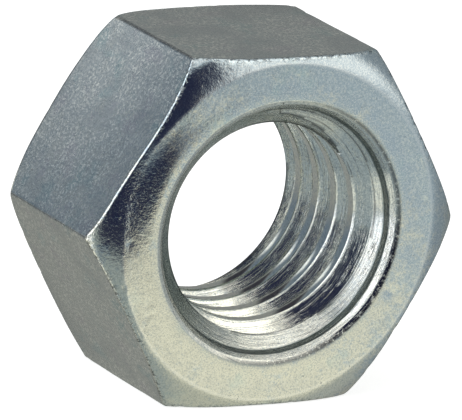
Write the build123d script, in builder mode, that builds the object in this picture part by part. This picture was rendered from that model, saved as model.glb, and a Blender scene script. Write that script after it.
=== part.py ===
from build123d import *
from build123d.topology import SkipClean

import os
from math import cos, radians, sin, tan

# A plain hex nut with a right-hand 1/2-13 UNC thread: one forged, chamfered and tapped piece of steel.
# Sizes are in millimetres. The thread axis lies along Y, the nut stands on one flat with +Z up, and the
# origin is on the thread axis at half the thickness.

# Hexagon
across_flats = 18.8
thickness = 11.1
corner_radius = 0.35

# Domed chamfer on the six corners, the same on both faces: an arc that leaves the face at a shallow
# angle and falls away faster towards the corner
face_circle_radius = 9.03
chamfer_start_angle = 11.0
chamfer_arc_radius = 3.2
chamfer_arc_sweep = 42.0

# Tapped thread
threads_per_inch = 13
pitch = 25.4 / threads_per_inch
minor_radius = 5.45
root_radius = 6.42
root_flat = pitch / 8
flank_angle = 30.0

# Mouth of the bore at the front, from the face inwards: a bevelled lip, a short steep step and the
# countersink cone
lip_radius = 7.02
step_outer_radius = 6.68
step_outer_depth = 0.45
step_inner_radius = 6.6
step_inner_depth = 0.78
countersink_half_angle = 45.0

# Plain countersink at the back
back_lip_radius = 6.84

half_thickness = thickness / 2
countersink_slope = tan(radians(countersink_half_angle))
front_cone_depth = step_inner_depth + (step_inner_radius - minor_radius) / countersink_slope
back_cone_depth = (back_lip_radius - minor_radius) / countersink_slope

# The groove is cut from a little inside the bore and starts straight below the axis, past the back face
groove_depth = root_radius - minor_radius + 0.3
groove_half_mouth = root_flat / 2 + groove_depth * tan(radians(flank_angle))
groove_turns = 8
groove_start = half_thickness + 1.31 * pitch

# The bore is cut in equal sectors. This changes no shape, it only divides the faces of the thread's crest:
# the mount check probes each face on its middle plane, and on a crest face that wraps right round the
# axis most of that plane lies in the groove
bore_sectors = 3
sector_angle = 360 / bore_sectors

os.makedirs("parts", exist_ok=True)

with BuildPart() as hex_nut:
    # Hexagonal bar with corners at plus and minus X and a flat underneath
    with BuildSketch(Plane.XZ):
        RegularPolygon(radius=across_flats / 2, side_count=6, major_radius=False)
    extrude(amount=half_thickness, both=True)
    fillet(hex_nut.edges().filter_by(Axis.Y), radius=corner_radius)

    # Turned outside: both faces and their domed chamfers
    with BuildSketch(Plane.XY):
        with BuildLine():
            face_line = Line((0, half_thickness), (face_circle_radius, half_thickness))
            chamfer_arc = JernArc(
                start=face_line @ 1,
                tangent=(cos(radians(chamfer_start_angle)), -sin(radians(chamfer_start_angle))),
                radius=chamfer_arc_radius,
                arc_size=-chamfer_arc_sweep,
            )
            Polyline(chamfer_arc @ 1, ((chamfer_arc @ 1).X, 0), (0, 0), (0, half_thickness))
        make_face()
        mirror(about=Plane.XZ)
    revolve(axis=Axis.Y, mode=Mode.INTERSECT)

    # Bore and thread, with their faces left split where the sectors and turns meet
    with SkipClean():
        # Bore at the minor diameter, with its two mouths
        for sector in range(bore_sectors):
            with BuildSketch(Plane.XY.rotated((0, sector * sector_angle, 0))):
                Polygon(
                    (0, -half_thickness),
                    (lip_radius, -half_thickness),
                    (step_outer_radius, step_outer_depth - half_thickness),
                    (step_inner_radius, step_inner_depth - half_thickness),
                    (minor_radius, front_cone_depth - half_thickness),
                    (minor_radius, half_thickness - back_cone_depth),
                    (back_lip_radius, half_thickness),
                    (0, half_thickness),
                    align=None,
                )
            revolve(axis=Axis.Y, revolution_arc=sector_angle, mode=Mode.SUBTRACT)

        # Thread groove, one turn at a time
        for turn in range(groove_turns):
            with BuildLine() as path:
                Helix(
                    pitch=pitch,
                    height=pitch,
                    radius=root_radius,
                    center=(0, groove_start - turn * pitch, 0),
                    direction=(0, -1, 0),
                )
            with BuildSketch(Plane(origin=path.line @ 0, x_dir=(0, 0, -1), z_dir=path.line % 0)):
                Polygon(
                    (0, -root_flat / 2),
                    (0, root_flat / 2),
                    (-groove_depth, groove_half_mouth),
                    (-groove_depth, -groove_half_mouth),
                    align=None,
                )
            sweep(path=path.line, is_frenet=True, mode=Mode.SUBTRACT)

hex_nut.part.label = "hex_nut"
export_step(hex_nut.part, "parts/hex_nut.step")
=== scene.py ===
import math
import random

import bmesh
import bpy
import numpy as np
from mathutils import Matrix, Vector, noise


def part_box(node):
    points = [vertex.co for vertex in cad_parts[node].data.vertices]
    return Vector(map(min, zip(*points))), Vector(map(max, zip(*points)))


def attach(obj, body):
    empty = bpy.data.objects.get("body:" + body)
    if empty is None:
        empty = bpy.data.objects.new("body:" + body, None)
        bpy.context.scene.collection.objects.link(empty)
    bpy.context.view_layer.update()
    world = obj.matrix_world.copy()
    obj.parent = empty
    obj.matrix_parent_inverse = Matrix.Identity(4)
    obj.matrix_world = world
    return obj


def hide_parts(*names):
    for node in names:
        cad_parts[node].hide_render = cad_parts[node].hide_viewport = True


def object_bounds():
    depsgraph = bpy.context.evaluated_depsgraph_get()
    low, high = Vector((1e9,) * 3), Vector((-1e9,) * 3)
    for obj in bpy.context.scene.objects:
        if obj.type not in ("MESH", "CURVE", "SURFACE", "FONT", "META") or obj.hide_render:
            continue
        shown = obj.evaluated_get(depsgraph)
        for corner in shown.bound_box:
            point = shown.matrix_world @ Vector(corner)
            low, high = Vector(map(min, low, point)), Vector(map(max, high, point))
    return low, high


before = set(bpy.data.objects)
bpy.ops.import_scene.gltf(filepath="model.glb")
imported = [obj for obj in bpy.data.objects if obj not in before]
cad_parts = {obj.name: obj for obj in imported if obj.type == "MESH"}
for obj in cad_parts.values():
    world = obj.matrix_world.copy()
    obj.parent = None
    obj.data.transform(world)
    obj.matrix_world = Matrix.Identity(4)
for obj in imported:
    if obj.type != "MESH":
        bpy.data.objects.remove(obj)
cad_low, cad_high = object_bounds()

MM = 0.001
low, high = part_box("hex_nut")
APOTHEM = (high.z - low.z) / 2 / MM
HALF = (high.y - low.y) / 2 / MM

# Outside of the nut, in millimetres as in the CAD model
CORNER_RADIUS = 0.35
RIDGE_RADIUS = 9.03
RIDGE_BLEND = 0.12
CHAMFER_START = math.radians(11.0)
CHAMFER_ARC = 3.2
EDGE_ROUND = 0.2
CROWN_ANGLE = math.radians(2.2)
CROWN_START = 6.9
CROWN_WIDTH = 1.2
DEPTH_STEP = 0.005

# Handling dents all over the outside
DENTS = 90

# Worn hollow in the front face beside the upper left corner
HOLLOW_ANGLE = 160
HOLLOW_SPREAD = 17
HOLLOW_DEPTH = 0.35

# Thread and mouth of the bore
PITCH = 25.4 / 13
MINOR = 5.45
ROOT = 6.42
ROOT_HALF = PITCH / 16
CREST_EDGE = ROOT_HALF + (ROOT - MINOR) * math.tan(math.radians(30.0))
GROOVE_START = HALF + 1.31 * PITCH
TURNS_TO_MIDDLE = 5
THREAD_BLEND = 0.06
MOUTH_BLEND = 0.03
LIP = 7.14
MOUTHS = {
    "front": ((0.0, LIP), (0.1, 6.9), (0.4, 6.67), (0.78, 6.6), (1.93, MINOR)),
    "back": ((0.0, 6.84), (1.39, MINOR)),
}

# Search for the places where the groove leaves the mouth of the bore, and how far apart points must stay
CROSSING_START = 0.5
CROSSING_STEP = 0.01
CLEARANCE = 0.008
PAST_CONE = 0.005

# Place and lens of the camera, in degrees, metres and millimetres of focal length
CAMERA_AZIMUTH = -29.03
CAMERA_ELEVATION = 15.11
CAMERA_ROLL = -4.89
CAMERA_DISTANCE = 0.4915
CAMERA_RIGHT = 0.0000435
CAMERA_DOWN = 0.000291
CAMERA_LENS = 731


# ---------------------------------------------------------------- cross-section

def smooth_step(x):
    x = np.clip(x, 0, 1)
    return x * x * (3 - 2 * x)


def soften(x, knots, blend):
    """Height of a chain of straight runs at x, with its inner corners rounded over blend."""
    xs = [k[0] for k in knots]
    ys = [k[1] for k in knots]
    value = np.interp(x, xs, ys)
    for i in range(1, len(knots) - 1):
        before = (ys[i] - ys[i - 1]) / (xs[i] - xs[i - 1])
        after = (ys[i + 1] - ys[i]) / (xs[i + 1] - xs[i])
        value = value + (after - before) * np.maximum(0, blend - np.abs(x - xs[i])) ** 2 / (4 * blend)
    return value


def outline_radius(theta):
    """Distance from the axis to the hexagon with rounded corners, at an angle in degrees."""
    from_flat = math.radians((theta % 60) - 30)
    centre = (APOTHEM - CORNER_RADIUS) / math.cos(math.radians(30))
    tangent_at = math.atan((APOTHEM - CORNER_RADIUS) * math.tan(math.radians(30)) / APOTHEM)
    if abs(from_flat) <= tangent_at:
        return APOTHEM / math.cos(from_flat)
    off = math.radians(30) - abs(from_flat)
    return centre * math.cos(off) + math.sqrt(CORNER_RADIUS ** 2 - (centre * math.sin(off)) ** 2)


def chamfer_slope(radius):
    """Angle of the end face or its domed chamfer below the flat face, in radians."""
    reach = np.clip((radius - RIDGE_RADIUS) / CHAMFER_ARC + math.sin(CHAMFER_START), 0, 0.95)
    dome = np.arcsin(np.maximum(reach, math.sin(CHAMFER_START)))
    share = smooth_step((radius - RIDGE_RADIUS + RIDGE_BLEND) / (2 * RIDGE_BLEND))
    crown = CROWN_ANGLE * smooth_step((radius - CROWN_START) / CROWN_WIDTH)
    return crown + (dome - crown) * share


radius_table = np.arange(LIP, 11.6, DEPTH_STEP)
slope_table = chamfer_slope(radius_table[:-1] + DEPTH_STEP / 2)
depth_table = np.concatenate([[0], np.cumsum(np.tan(slope_table) * DEPTH_STEP)])


def face_depth(radius):
    """How far the outside has dropped below the end face at a distance from the axis."""
    return np.interp(radius, radius_table, depth_table)


def thread_radius(from_groove):
    """Radius of the threaded wall at a distance along the axis from the middle of the groove."""
    wrapped = np.abs((from_groove + PITCH / 2) % PITCH - PITCH / 2)
    knots = ((-0.1, ROOT), (ROOT_HALF, ROOT), (CREST_EDGE, MINOR), (PITCH, MINOR))
    return soften(wrapped, knots, THREAD_BLEND)


def cone_end(end):
    """Depth at which the countersink of one end reaches the minor diameter."""
    return MOUTHS[end][-1][0]


def mouth_radius(depth, end):
    """Radius of the mouth of the bore at a depth below one end face."""
    knots = MOUTHS[end] + ((2 * HALF, MINOR),)
    sharp = np.interp(depth, [k[0] for k in knots], [k[1] for k in knots])
    return np.where(depth < cone_end(end) - 0.05, soften(depth, knots, MOUTH_BLEND), sharp)


def turned_from(angle, centre):
    """Signed difference between two angles in degrees, from -180 to 180."""
    return (angle - centre + 180) % 360 - 180


def groove_middle(theta):
    """Height along Y of groove number 0 at an angle in degrees; groove n lies n pitches further back."""
    return GROOVE_START - PITCH * (theta + 90) / 360 - TURNS_TO_MIDDLE * PITCH


# ---------------------------------------------------------------- rows and columns

def columns():
    """Angles of the columns of points, closer together at the six corners."""
    near = [-1.2 + 0.24 * i for i in range(11)]
    far = list(np.linspace(1.2, 58.8, 67)[1:-1])
    return [60 * k + a for k in range(6) for a in near + far]


ANNULUS_SHARES = [0.0, 0.012, 0.03, 0.06, 0.12, 0.22, 0.34, 0.47, 0.6, 0.72, 0.81, 0.88, 0.94, 0.98]
CHAMFER_SHARES = [0.02, 0.1, 0.19, 0.29, 0.4, 0.52, 0.64, 0.76, 0.88]
SIDE_SHARES = [0.5 - 0.5 * math.cos(math.pi * (0.04 + 0.92 * i / 23)) for i in range(24)]
MOUTH_ROWS = {
    "front": [0.02, 0.05, 0.08, 0.1, 0.13, 0.17, 0.24, 0.34, 0.38, 0.41, 0.44, 0.52, 0.64, 0.73, 0.77, 0.8,
              0.86, 0.96, 1.08, 1.22, 1.38, 1.55, 1.74, 1.93],
    "back": [0.03, 0.08, 0.15, 0.25, 0.4, 0.55, 0.7, 0.85, 1.0, 1.13, 1.26, 1.39],
}
THREAD_ROWS = [0.0, 0.08, 0.13, 0.19, 0.29, 0.4, 0.51, 0.61, 0.66, 0.7, 0.78]


def end_depth(radius, theta, end):
    """Depth of an end face at a distance from the axis, with the unevenness of its turning and forging."""
    if end == "back":
        return float(face_depth(radius + 0.2 * math.cos(math.radians(theta - 150)) * (radius > 8)))
    near = math.exp(-(turned_from(theta, HOLLOW_ANGLE) / HOLLOW_SPREAD) ** 2)
    sag = smooth_step((radius - 7.4) / 1.8) * (1 - smooth_step((radius - 9.6) / 1.5))
    return float(face_depth(radius)) + HOLLOW_DEPTH * near * float(sag)


def half_outside(theta, end):
    """Points (radius, depth) from the lip outwards over one end face, its chamfer and the rounded edge."""
    lip = MOUTHS[end][0][1]
    outer = outline_radius(theta)
    drop = lambda r: end_depth(r, theta, end)
    edge = (outer, drop(outer))
    slope = math.atan((drop(outer) - drop(outer - 0.02)) / 0.02)
    reach = EDGE_ROUND * math.tan((math.radians(90) - slope) / 2)
    inner_end = outer - reach * math.cos(slope)
    points = [(r, drop(r)) for r in (lip + 0.004 + s * (RIDGE_RADIUS - lip) for s in ANNULUS_SHARES)]
    points += [(r, drop(r)) for r in (RIDGE_RADIUS + s * (inner_end - RIDGE_RADIUS) for s in CHAMFER_SHARES)]
    a = (inner_end, edge[1] - reach * math.sin(slope))
    b = (outer, edge[1] + reach)
    for s in (0.0, 0.25, 0.5, 0.75, 1.0):
        points.append(tuple(a[i] * (1 - s) ** 2 + edge[i] * 2 * s * (1 - s) + b[i] * s * s for i in (0, 1)))
    return points


def bore_column(theta):
    """Labelled points (label, radius, y) of the bore from the back lip to the front lip."""
    middle = groove_middle(theta)
    found = []
    for end, sign in (("back", 1), ("front", -1)):
        for i, d in enumerate(MOUTH_ROWS[end]):
            y = sign * (HALF - d)
            r = float(mouth_radius(d, end))
            clear = 1e-6 if d >= cone_end(end) else -CLEARANCE
            if float(thread_radius(y - middle)) <= r + clear:
                found.append(((end, "ring", i), r, y))
        depths = np.arange(CROSSING_START, cone_end(end) + 0.015, CROSSING_STEP)
        ys = sign * (HALF - depths)
        gap = thread_radius(ys - middle) - mouth_radius(depths, end)
        crossings = {}
        for k in np.nonzero((gap[:-1] > 0) != (gap[1:] > 0))[0]:
            share = gap[k] / (gap[k] - gap[k + 1])
            d = depths[k] + CROSSING_STEP * share
            y = sign * (HALF - d)
            number = round((y - middle) / PITCH)
            off = y - middle - number * PITCH
            key = (end, "cross", number, off > 0)
            if key not in crossings or abs(off) < crossings[key][0]:
                crossings[key] = (abs(off), float(mouth_radius(d, end)), y)
        found += [(key, r, y) for key, (_, r, y) in crossings.items()]
    for number in range(-4, 5):
        for i, off in enumerate(THREAD_ROWS):
            for side in ((1,) if i == 0 else (1, -1)):
                y = middle + number * PITCH + side * off
                end = "back" if y > 0 else "front"
                depth = HALF - abs(y)
                r = float(thread_radius(off))
                inside = depth > cone_end(end) + PAST_CONE
                below_mouth = depth > 0.4 and r > float(mouth_radius(depth, end)) + CLEARANCE
                if inside or (below_mouth and off < CREST_EDGE):
                    found.append((("thread", number, i, side), r, y))
        y = middle + (number + 0.5) * PITCH
        if HALF - abs(y) > cone_end("back" if y > 0 else "front") + PAST_CONE:
            found.append((("crest", number), MINOR, y))
    found.sort(key=lambda p: -p[2])
    return found


def shifted(label):
    """The label that a point of the first column has when it is reached again after a full turn."""
    if label[0] in ("thread", "crest"):
        return (label[0], label[1] + 1) + label[2:]
    if label[0] in ("front", "back") and label[1] == "cross":
        return label[:2] + (label[2] + 1,) + label[3:]
    return label


def stitch(a, b, faces):
    """Faces between two neighbouring columns, each a list of (label, vertex number) in the same order."""
    place = {label: i for i, (label, _) in enumerate(b)}
    pairs = []
    last = -1
    for i, (label, _) in enumerate(a):
        j = place.get(label, -1)
        if j > last:
            pairs.append((i, j))
            last = j
    for (i0, j0), (i1, j1) in zip(pairs, pairs[1:]):
        if i1 - i0 == 1 and j1 - j0 == 1:
            faces.append((a[i0][1], a[i1][1], b[j1][1], b[j0][1]))
            continue
        i, j = i0, j0
        while i < i1 or j < j1:
            if j == j1 or (i < i1 and (i + 1 - i0) / (i1 - i0) <= (j + 1 - j0) / (j1 - j0)):
                faces.append((a[i][1], a[i + 1][1], b[j][1]))
                i += 1
            else:
                faces.append((a[i][1], b[j + 1][1], b[j][1]))
                j += 1


def build_nut():
    """Points and faces of the whole nut, and its columns as lists of (label, vertex number)."""
    verts = []
    table = []
    for theta in columns():
        front = half_outside(theta, "front")
        back = half_outside(theta, "back")
        chain = [(("front", "out", i), r, d - HALF) for i, (r, d) in enumerate(front)]
        y_front, y_back = front[-1][1] - HALF, HALF - back[-1][1]
        for i, share in enumerate(SIDE_SHARES):
            chain.append((("side", i), front[-1][0], y_front + (y_back - y_front) * share))
        chain += [(("back", "out", i), r, HALF - d) for i, (r, d) in enumerate(back)][::-1]
        chain += bore_column(theta)
        column = []
        c, s = math.cos(math.radians(theta)), math.sin(math.radians(theta))
        for label, r, y in chain:
            column.append((label, len(verts)))
            verts.append((r * c, y, r * s))
        column.append((("close",), column[0][1]))
        table.append(column)
    faces = []
    for a, b in zip(table, table[1:]):
        stitch(a, b, faces)
    stitch(table[-1], [(shifted(label), number) for label, number in table[0]], faces)
    return verts, faces, table


# ---------------------------------------------------------------- the piece

def wave(points, size, seed):
    """Smooth noise at each point, about -1 to 1, with features of the given size."""
    shift = Vector((seed * 7.31, seed * 3.17, seed * 5.93))
    return np.array([noise.noise(Vector(p) / size + shift) for p in points]) * 1.6


def worn(points, normals, labels):
    """The points moved a little inwards, for forging waviness and handling dents."""
    radius = np.hypot(points[:, 0], points[:, 2])
    outside = np.array([label[0] == "side" or label[1] == "out" for label in labels])
    on_side = np.array([label[0] == "side" for label in labels])
    share = np.where(on_side, 1.0, smooth_step((radius - 7.3) / 0.8))
    move = share * 0.012 * (wave(points, 4.2, 1) + 0.6 * wave(points, 1.7, 2) - 1.6)
    draw = random.Random(11)
    corners = [math.radians(60 * k) for k in range(6)]
    for _ in range(DENTS):
        kind = draw.random()
        if kind < 0.5:
            angle = draw.uniform(0, 2 * math.pi)
            r = outline_radius(math.degrees(angle))
            end = draw.choice((-1, 1))
            y = end * (HALF - float(face_depth(r)))
        elif kind < 0.7:
            angle = draw.choice(corners) + draw.uniform(-0.01, 0.01)
            r = outline_radius(math.degrees(angle))
            y = draw.uniform(-HALF + 1, HALF - 1)
        else:
            angle = draw.uniform(0, 2 * math.pi)
            r = draw.uniform(7.6, 9.2)
            y = draw.choice((-1, 1)) * HALF
        centre = np.array([r * math.cos(angle), y, r * math.sin(angle)])
        size = draw.uniform(0.12, 0.38)
        deep = draw.uniform(0.008, 0.035)
        away = np.linalg.norm(points - centre, axis=1) / size
        move = move - np.where(outside & (away < 1), deep * (1 - away ** 2) ** 2, 0)
    return points + normals * np.minimum(move, 0)[:, None]


def in_bore(label):
    """Whether a point is on the thread or the mouth of the bore."""
    return label[0] in ("thread", "crest") or label[1] in ("ring", "cross")


def on_crease(label):
    """Whether a point is where the groove cuts the mouth, or where the mouth meets the minor diameter."""
    return label[1] == "cross" or (label[1] == "ring" and label[2] == len(MOUTH_ROWS[label[0]]) - 1)


def make_piece():
    """The nut's mesh object, with the attributes that its material reads."""
    verts, faces, table = build_nut()
    points = np.array(verts, float)
    labels = [None] * len(verts)
    angle = np.zeros(len(verts))
    for theta, column in zip(columns(), table):
        for label, number in column[:-1]:
            labels[number] = label
            angle[number] = theta
    mesh = bpy.data.meshes.new("hex_nut_shown")
    mesh.from_pydata([tuple(p * MM) for p in points], [], faces)
    work = bmesh.new()
    work.from_mesh(mesh)
    bmesh.ops.recalc_face_normals(work, faces=work.faces)
    work.to_mesh(mesh)
    work.free()
    normals = np.zeros(len(verts) * 3)
    mesh.vertices.foreach_get("normal", normals)
    shaped = worn(points, normals.reshape(-1, 3), labels)
    mesh.vertices.foreach_set("co", (shaped * MM).astype(np.float32).ravel())
    mesh.update()
    mesh.shade_smooth()
    mesh.set_sharp_from_angle(angle=math.radians(28))

    radius = np.hypot(points[:, 0], points[:, 2])
    depth = HALF - np.abs(points[:, 1])
    side = np.array([label[0] == "side" for label in labels], float)
    bore = np.array([in_bore(label) for label in labels], float)
    outline = np.array([outline_radius(a) for a in angle])
    edge_depth = face_depth(outline)
    to_edge = np.hypot(radius - outline, depth - edge_depth)
    rim = np.where(bore > 0, 0, np.exp(-(to_edge / 0.17) ** 2))
    to_lip = np.hypot(radius - LIP + 0.07, depth - 0.03)
    lip = np.where(points[:, 1] < 0, np.exp(-(to_lip / 0.12) ** 2), 0)
    # The lip's share grows towards the right side of the mouth, where it paints shade as a dark band
    lip = lip * (0.1 + 0.9 * smooth_step(0.5 + 1.5 * np.cos(np.radians(angle + 22))))
    # Painted shade: dark thin lines along the creases where the groove cuts the mouth and where the mouth
    # meets the minor diameter
    crease_shade = np.array([on_crease(label) for label in labels], float)
    ridge = np.where(side + bore > 0, 0, smooth_step((radius - RIDGE_RADIUS + 0.1) / 0.3))
    middle = np.array([groove_middle(a) for a in angle])
    turn = 2 * math.pi * (points[:, 1] - middle) / PITCH
    wall = bore * smooth_step((radius - MINOR - 0.01) / 0.1)
    front_mouth = (points[:, 1] < 0) & (radius > MINOR + 0.02) & (bore > 0)
    # Painted shade: dark lines at both edges of the step in the front mouth, and darker between them
    step_shade_rings = np.maximum(np.exp(-((depth - 0.42) / 0.04) ** 2), np.exp(-((depth - 0.78) / 0.04) ** 2))
    step_shade_rings = np.maximum(step_shade_rings, 0.5 * ((depth > 0.4) & (depth < 0.8)))
    painted_step_shade = np.where(front_mouth, step_shade_rings, 0)
    inner = np.abs(turned_from(angle, 165))
    shaded = np.where(front_mouth & (depth > 0.4), smooth_step((85 - inner) / 45), 0)
    along = np.tan(np.radians(angle % 60 - 30)) * APOTHEM
    near_hollow = np.exp(-(inner / HOLLOW_SPREAD) ** 2) * smooth_step((radius - 7.2) / 0.8)
    worn_patch = np.where(points[:, 1] < -4, near_hollow, 0) * (1 - side)
    floats = {"wall": wall, "step": painted_step_shade, "side": side, "bore": bore, "rim": rim, "lip": lip,
              "chamfer": ridge, "crease_shade": crease_shade, "along": along, "shaded": shaded, "worn": worn_patch}
    for name, values in floats.items():
        mesh.attributes.new(name, "FLOAT", "POINT").data.foreach_set("value", values.astype(np.float32))
    helix = np.stack([np.cos(turn), np.sin(turn), radius / 3], 1).astype(np.float32)
    mesh.attributes.new("helix", "FLOAT_VECTOR", "POINT").data.foreach_set("vector", helix.ravel())
    piece = bpy.data.objects.new("hex_nut_zinc", mesh)
    bpy.context.scene.collection.objects.link(piece)
    return piece


# ---------------------------------------------------------------- node helpers

class Tree:
    """Short calls that add nodes to one node tree and join them."""

    def __init__(self, tree):
        self.nodes = tree.nodes
        self.links = tree.links

    def put(self, socket, value):
        """Links an output to a socket, or sets the socket to a constant."""
        if isinstance(value, bpy.types.NodeSocket):
            self.links.new(value, socket)
        else:
            socket.default_value = value

    def node(self, kind, **inputs):
        """Adds a node; i0, i1 and so on are its inputs by number, and other names are inputs by name."""
        made = self.nodes.new("ShaderNode" + kind)
        for name, value in inputs.items():
            if name in ("operation", "interpolation_type"):
                setattr(made, name, value)
            elif name[0] == "i" and name[1:].isdigit():
                self.put(made.inputs[int(name[1:])], value)
            else:
                self.put(made.inputs[name], value)
        return made.outputs[0]

    def math(self, operation, a, b=0.0, c=0.0):
        return self.node("Math", operation=operation, i0=a, i1=b, i2=c)

    def add(self, a, b):
        return self.math("ADD", a, b)

    def times(self, a, b):
        return self.math("MULTIPLY", a, b)

    def step(self, x, start, end, low=0.0, high=1.0):
        """Smooth ramp of x from low at start to high at end."""
        return self.node("MapRange", interpolation_type="SMOOTHSTEP", i0=x, i1=start, i2=end, i3=low, i4=high)

    def mix(self, share, a, b):
        """Mixes two colours."""
        made = self.nodes.new("ShaderNodeMix")
        made.data_type = "RGBA"
        self.put(made.inputs[0], share)
        self.put(made.inputs[6], a)
        self.put(made.inputs[7], b)
        return made.outputs[2]

    def noise(self, where, scale, detail=2.0, rough=0.5):
        return self.node("TexNoise", Vector=where, Scale=scale, Detail=detail, Roughness=rough)

    def value(self, name):
        made = self.nodes.new("ShaderNodeAttribute")
        made.attribute_name = name
        return made.outputs["Fac"]

    def vector(self, name):
        made = self.nodes.new("ShaderNodeAttribute")
        made.attribute_name = name
        return made.outputs["Vector"]

    def stretch(self, where, scale, turn=(0.0, 0.0, 0.0)):
        made = self.nodes.new("ShaderNodeMapping")
        self.put(made.inputs["Vector"], where)
        made.inputs["Rotation"].default_value = turn
        made.inputs["Scale"].default_value = scale
        return made.outputs[0]


def rgb(r, g, b):
    return (r, g, b, 1.0)


# ---------------------------------------------------------------- zinc plating

def zinc_material():
    """Zinc-plated steel: satin forged flats, brighter turned faces and a glossy tapped bore."""
    material = bpy.data.materials.new("zinc_plating")
    material.use_nodes = True
    t = Tree(material.node_tree)
    shader = t.nodes["Principled BSDF"]
    where = t.nodes.new("ShaderNodeTexCoord").outputs["Object"]
    spot = t.stretch(where, (1000, 1000, 1000))
    split = t.nodes.new("ShaderNodeSeparateXYZ")
    t.put(split.inputs[0], spot)
    x, y, z = split.outputs
    side, bore, wall, chamfer = t.value("side"), t.value("bore"), t.value("wall"), t.value("chamfer")
    rim, lip, along = t.value("rim"), t.value("lip"), t.value("along")
    shaded, patch_worn = t.value("shaded"), t.value("worn")
    crease_shade, painted_step_shade = t.value("crease_shade"), t.value("step")
    helix = t.vector("helix")
    radius = t.math("SQRT", t.add(t.times(x, x), t.times(z, z)))

    # Colour: pale zinc with the cream, blue and green casts of its passivation, and painted shade that turns
    # it bluer and darker towards the upper right and outwards from the middle of the end face
    cloud = t.noise(spot, 0.22, 3.0, 0.55)
    patch = t.noise(t.stretch(spot, (1, 1, 1), (1, 2, 3)), 0.55, 4.0, 0.6)
    speck = t.noise(t.stretch(spot, (1, 1, 1), (2, 1, 3)), 4.5, 3.0, 0.7)
    fine = t.noise(spot, 11.0, 3.0, 0.7)
    # Painted shade: bluer and darker towards the upper right
    painted_shade_slant = t.add(t.times(x, 0.03), t.times(z, 0.055))
    # Painted shade: bluer outwards from the middle of the end face
    ring = t.step(radius, 8.0, 8.9, 0.0, 0.2)
    blotch = t.noise(t.stretch(spot, (1, 1, 1), (2, 3, 1)), 0.9, 4.0, 0.65)
    tint_and_shade = t.add(t.add(painted_shade_slant, ring), t.times(t.add(cloud, -0.5), 1.2))
    tint_and_shade = t.add(tint_and_shade, t.times(t.add(blotch, -0.5), 2.0))
    tint_and_shade = t.add(tint_and_shade, t.times(t.add(speck, -0.5), 1.6))
    cream, blue, green = rgb(0.88, 0.87, 0.76), rgb(0.58, 0.67, 0.73), rgb(0.60, 0.76, 0.75)
    base = t.mix(t.step(tint_and_shade, -0.25, 0.5), cream, blue)
    base = t.mix(t.step(patch, 0.54, 0.74, 0.0, 0.45), base, green)
    base = t.mix(t.times(bore, 0.6), base, rgb(0.92, 0.92, 0.86))
    base = t.mix(t.times(side, 0.8), base, rgb(0.64, 0.66, 0.65))
    base = t.mix(t.times(side, t.step(patch, 0.54, 0.68, 0.0, 0.55)), base, rgb(0.47, 0.63, 0.64))
    base = t.mix(t.times(side, t.step(patch, 0.44, 0.34, 0.0, 0.4)), base, rgb(0.66, 0.60, 0.66))
    base = t.mix(t.step(fine, 0.50, 0.62, 0.0, 0.45), base, rgb(0.40, 0.47, 0.54))
    base = t.mix(t.step(fine, 0.50, 0.38, 0.0, 0.45), base, rgb(1.0, 1.0, 0.95))
    base = t.mix(t.times(shaded, 0.72), base, rgb(0.22, 0.30, 0.29))
    # Painted shade at the step in the front mouth
    base = t.mix(t.times(painted_step_shade, 0.9), base, rgb(0.05, 0.10, 0.11))
    # Painted shade along the creases of the bore's mouth
    base = t.mix(t.times(crease_shade, 0.8), base, rgb(0.07, 0.08, 0.09))
    # Painted highlight: a thin pale line along the ridge between the end face and its chamfer
    near_ridge = t.step(t.math("ABSOLUTE", t.add(radius, -9.05)), 0.13, 0.03)
    painted_ridge_highlight = t.times(near_ridge, t.add(t.times(near_ridge, t.times(side, -1.0)), 1.0))
    base = t.mix(t.times(painted_ridge_highlight, 0.3), base, rgb(1.0, 1.0, 0.98))
    sheen = t.noise(t.stretch(spot, (0.5, 0.5, 0.5)), 0.6, 2.0, 0.5)
    base = t.mix(t.times(side, t.step(sheen, 0.50, 0.36, 0.0, 0.2)), base, rgb(0.40, 0.44, 0.48))
    # Painted glints: bright flecks on the flats, most where the sheen noise is high
    painted_glints = t.times(t.step(t.noise(spot, 6.0, 2.0, 0.6), 0.54, 0.60), t.step(sheen, 0.40, 0.54, 0.25, 1.0))
    base = t.mix(t.times(painted_glints, side), base, rgb(1.0, 1.0, 0.95))
    # Dark ragged burr along the outer edges, and painted shade in a dark band along the lip, strongest on its
    # right side
    ragged = t.noise(spot, 4.5, 3.0, 0.7)
    burr_and_lip_shade = t.add(t.times(rim, t.step(ragged, 0.50, 0.58)), t.times(lip, t.step(ragged, 0.33, 0.47)))
    base = t.mix(t.times(burr_and_lip_shade, 0.75), base, rgb(0.08, 0.09, 0.10))
    pits = t.step(t.noise(spot, 3.2, 3.0, 0.7), 0.70, 0.75)
    base = t.mix(t.times(pits, 0.8), base, rgb(0.08, 0.08, 0.08))

    # Marks left by the tap: a wandering bundle of lines that follows the thread, some of them torn dark
    drift = t.nodes.new("ShaderNodeVectorMath")
    drift.operation = "MULTIPLY_ADD"
    t.put(drift.inputs[0], helix)
    drift.inputs[1].default_value = (4.2, 4.2, 4.2)
    t.put(drift.inputs[2], t.stretch(spot, (0.2, 0.2, 0.2)))
    tap = t.noise(drift.outputs[0], 1.0, 4.0, 0.72)
    torn = t.times(t.step(tap, 0.60, 0.67), t.step(t.noise(spot, 0.6, 2.0, 0.5), 0.4, 0.6, 0.2, 1.0))
    base = t.mix(t.times(t.times(torn, wall), 0.75), base, rgb(0.10, 0.11, 0.12))
    t.put(shader.inputs["Base Color"], base)
    shader.inputs["Metallic"].default_value = 1.0

    # Roughness
    satin = t.noise(spot, 1.1, 4.0, 0.6)
    rough = t.step(satin, 0.3, 0.7, 0.16, 0.23)
    rough = t.add(rough, t.times(side, 0.06))
    rough = t.add(rough, t.times(bore, -0.125))
    rough = t.add(rough, t.times(chamfer, -0.06))
    rough = t.add(rough, t.times(rim, -0.08))
    rough = t.add(rough, t.times(patch_worn, -0.09))
    t.put(shader.inputs["Roughness"], rough)

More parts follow.
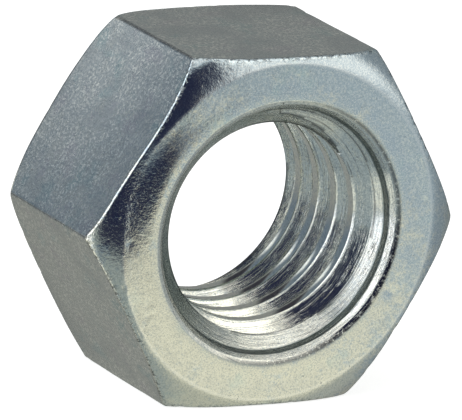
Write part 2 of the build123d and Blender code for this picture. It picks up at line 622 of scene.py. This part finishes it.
    # Surface: orange peel, fine grain, drawing marks on the flats and the tap's marks along the helix
    peel = t.times(t.noise(spot, 3.0, 3.0, 0.6), t.add(t.times(bore, -0.009), 0.010))
    grain = t.times(fine, t.add(t.times(bore, -0.004), t.add(0.004, t.times(side, 0.006))))
    mottle = t.times(t.times(speck, patch_worn), 0.03)
    drawn = t.times(t.noise(t.stretch(spot, (2.5, 0.35, 2.5)), 1.2, 3.0, 0.6), t.times(side, 0.008))
    bow = t.add(t.times(t.times(y, y), -0.008), t.times(t.times(along, along), -0.006))
    drawn = t.add(drawn, t.times(side, bow))
    broken = t.step(t.noise(spot, 0.5, 2.0, 0.5), 0.35, 0.6, 0.5, 1.0)
    tapped = t.times(t.times(tap, broken), t.add(t.times(wall, 0.028), t.times(bore, 0.002)))
    tapped = t.add(tapped, t.times(t.times(t.step(tap, 0.45, 0.40), wall), 0.006))
    height = t.add(t.add(peel, grain), t.add(drawn, tapped))
    height = t.add(t.add(height, mottle), t.times(pits, -0.012))
    height = t.add(height, t.times(burr_and_lip_shade, -0.012))
    bump = t.node("Bump", Strength=1.0, Distance=0.001, Height=height)
    t.put(shader.inputs["Normal"], bump)
    return material


# ---------------------------------------------------------------- stage

def window(t, azimuth, elevation, across, up, soft):
    """Share of a soft-edged window of the studio between two azimuths and two elevations, in degrees."""
    share = t.step(elevation, up[0] - soft, up[0] + soft)
    share = t.times(share, t.step(elevation, up[1] + soft, up[1] - soft))
    share = t.times(share, t.step(azimuth, across[0] - soft, across[0] + soft))
    return t.times(share, t.step(azimuth, across[1] + soft, across[1] - soft))


def studio():
    """Soft light and dark fields by direction, which the camera itself sees as plain white."""
    world = bpy.data.worlds.new("studio")
    bpy.context.scene.world = world
    world.use_nodes = True
    t = Tree(world.node_tree)
    background = t.nodes["Background"]
    split = t.nodes.new("ShaderNodeSeparateXYZ")
    t.put(split.inputs[0], t.nodes.new("ShaderNodeTexCoord").outputs["Generated"])
    x, y, z = split.outputs
    degree = math.degrees(1)
    # Azimuths in front count from straight ahead to the right, those behind from straight back to the left
    ahead = t.times(t.math("ARCTAN2", x, t.times(y, -1.0)), degree)
    behind = t.times(t.math("ARCTAN2", t.times(x, -1.0), y), degree)
    elevation = t.times(t.math("ARCSINE", z), degree)
    front = t.mix(t.step(ahead, 42, 74), rgb(0.50, 0.55, 0.56), rgb(0.30, 0.33, 0.34))
    low_front = t.mix(t.step(elevation, -31, -44), rgb(0.80, 0.80, 0.68), rgb(0.46, 0.48, 0.42))
    low_front = t.mix(t.step(ahead, 40, 62), low_front, rgb(0.36, 0.39, 0.38))
    low_front = t.mix(t.step(ahead, 16, 6), low_front, rgb(0.29, 0.34, 0.35))
    lean = t.add(elevation, t.times(t.add(ahead, -29.0), 0.5))
    front = t.mix(t.step(lean, -11, -18), front, low_front)
    rear = t.mix(t.step(elevation, -10, -25), rgb(0.25, 0.262, 0.255), rgb(0.30, 0.31, 0.29))
    light = t.mix(t.step(y, -0.2, 0.4), front, rear)
    light = t.mix(t.step(elevation, 50, 62), light, rgb(1.0, 1.0, 0.96))
    windows = (
        (behind, (8, 60), (-8, 60), 8, (0.15, 0.19, 0.23)),
        (behind, (10, 26), (13, 24), 5, (0.95, 0.99, 0.99)),
        (behind, (-14, 8), (24, 48), 4, (0.04, 0.04, 0.05)),
        (ahead, (12, 58), (4, 48), 7, (1.15, 1.13, 1.05)),
        (ahead, (8, 64), (32, 54), 4, (1.6, 1.58, 1.45)),
        (ahead, (-116, -54), (-20, 58), 8, (1.6, 1.62, 1.65)),
        (ahead, (-116, -49), (-48, -22), 6, (0.85, 0.86, 0.76)),
    )
    for azimuth, across, up, soft, colour in windows:
        light = t.mix(window(t, azimuth, elevation, across, up, soft), light, rgb(*colour))
    # Dark opening in front of the nut, with a leaning right edge
    leaning = t.add(ahead, t.times(t.add(elevation, 12.0), 0.3))
    opening = t.times(window(t, ahead, elevation, (-38, 40), (-14, 51), 3), t.step(leaning, 26, 20))
    light = t.mix(opening, light, rgb(0.025, 0.029, 0.058))
    camera_ray = t.nodes.new("ShaderNodeLightPath").outputs["Is Camera Ray"]
    light = t.mix(camera_ray, light, rgb(1.0, 1.0, 1.0))
    t.put(background.inputs["Color"], light)
    background.inputs["Strength"].default_value = 1.0


def make_floor():
    """Pale round floor just under the nut."""
    mesh = bpy.data.meshes.new("floor")
    work = bmesh.new()
    bmesh.ops.create_circle(work, cap_ends=True, segments=96, radius=1.2)
    work.to_mesh(mesh)
    work.free()
    floor = bpy.data.objects.new("floor", mesh)
    floor.location.z = cad_low.z - 0.00002
    bpy.context.scene.collection.objects.link(floor)
    floor.visible_glossy = False
    material = bpy.data.materials.new("pale_floor")
    material.use_nodes = True
    t = Tree(material.node_tree)
    shader = t.nodes["Principled BSDF"]
    shader.inputs["Base Color"].default_value = rgb(0.62, 0.62, 0.62)
    shader.inputs["Roughness"].default_value = 0.9
    shader.inputs["Specular IOR Level"].default_value = 0.0
    shader.inputs["Emission Color"].default_value = rgb(1, 1, 1)
    shader.inputs["Emission Strength"].default_value = 0.75
    mesh.materials.append(material)


def make_camera():
    """Long lens in front of the nut, to its left and a little above it, held with a slight tilt."""
    azimuth, elevation, roll = (math.radians(a) for a in (CAMERA_AZIMUTH, CAMERA_ELEVATION, CAMERA_ROLL))
    level = math.cos(elevation)
    back = Vector((math.sin(azimuth) * level, -math.cos(azimuth) * level, math.sin(elevation)))
    right = Vector((math.cos(azimuth), math.sin(azimuth), 0))
    up = back.cross(right)
    right, up = right * math.cos(roll) - up * math.sin(roll), right * math.sin(roll) + up * math.cos(roll)
    place = back * CAMERA_DISTANCE + right * CAMERA_RIGHT - up * CAMERA_DOWN
    data = bpy.data.cameras.new("camera")
    data.lens = CAMERA_LENS
    data.clip_start = 0.01
    data.clip_end = 10
    camera = bpy.data.objects.new("camera", data)
    camera.matrix_world = Matrix((
        (right.x, up.x, back.x, place.x),
        (right.y, up.y, back.y, place.y),
        (right.z, up.z, back.z, place.z),
        (0, 0, 0, 1),
    ))
    bpy.context.scene.collection.objects.link(camera)
    bpy.context.scene.camera = camera


nut = make_piece()
nut.data.materials.append(zinc_material())
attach(nut, "root")
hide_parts("hex_nut")
studio()
make_floor()
make_camera()
bpy.context.scene.view_settings.view_transform = "Standard"
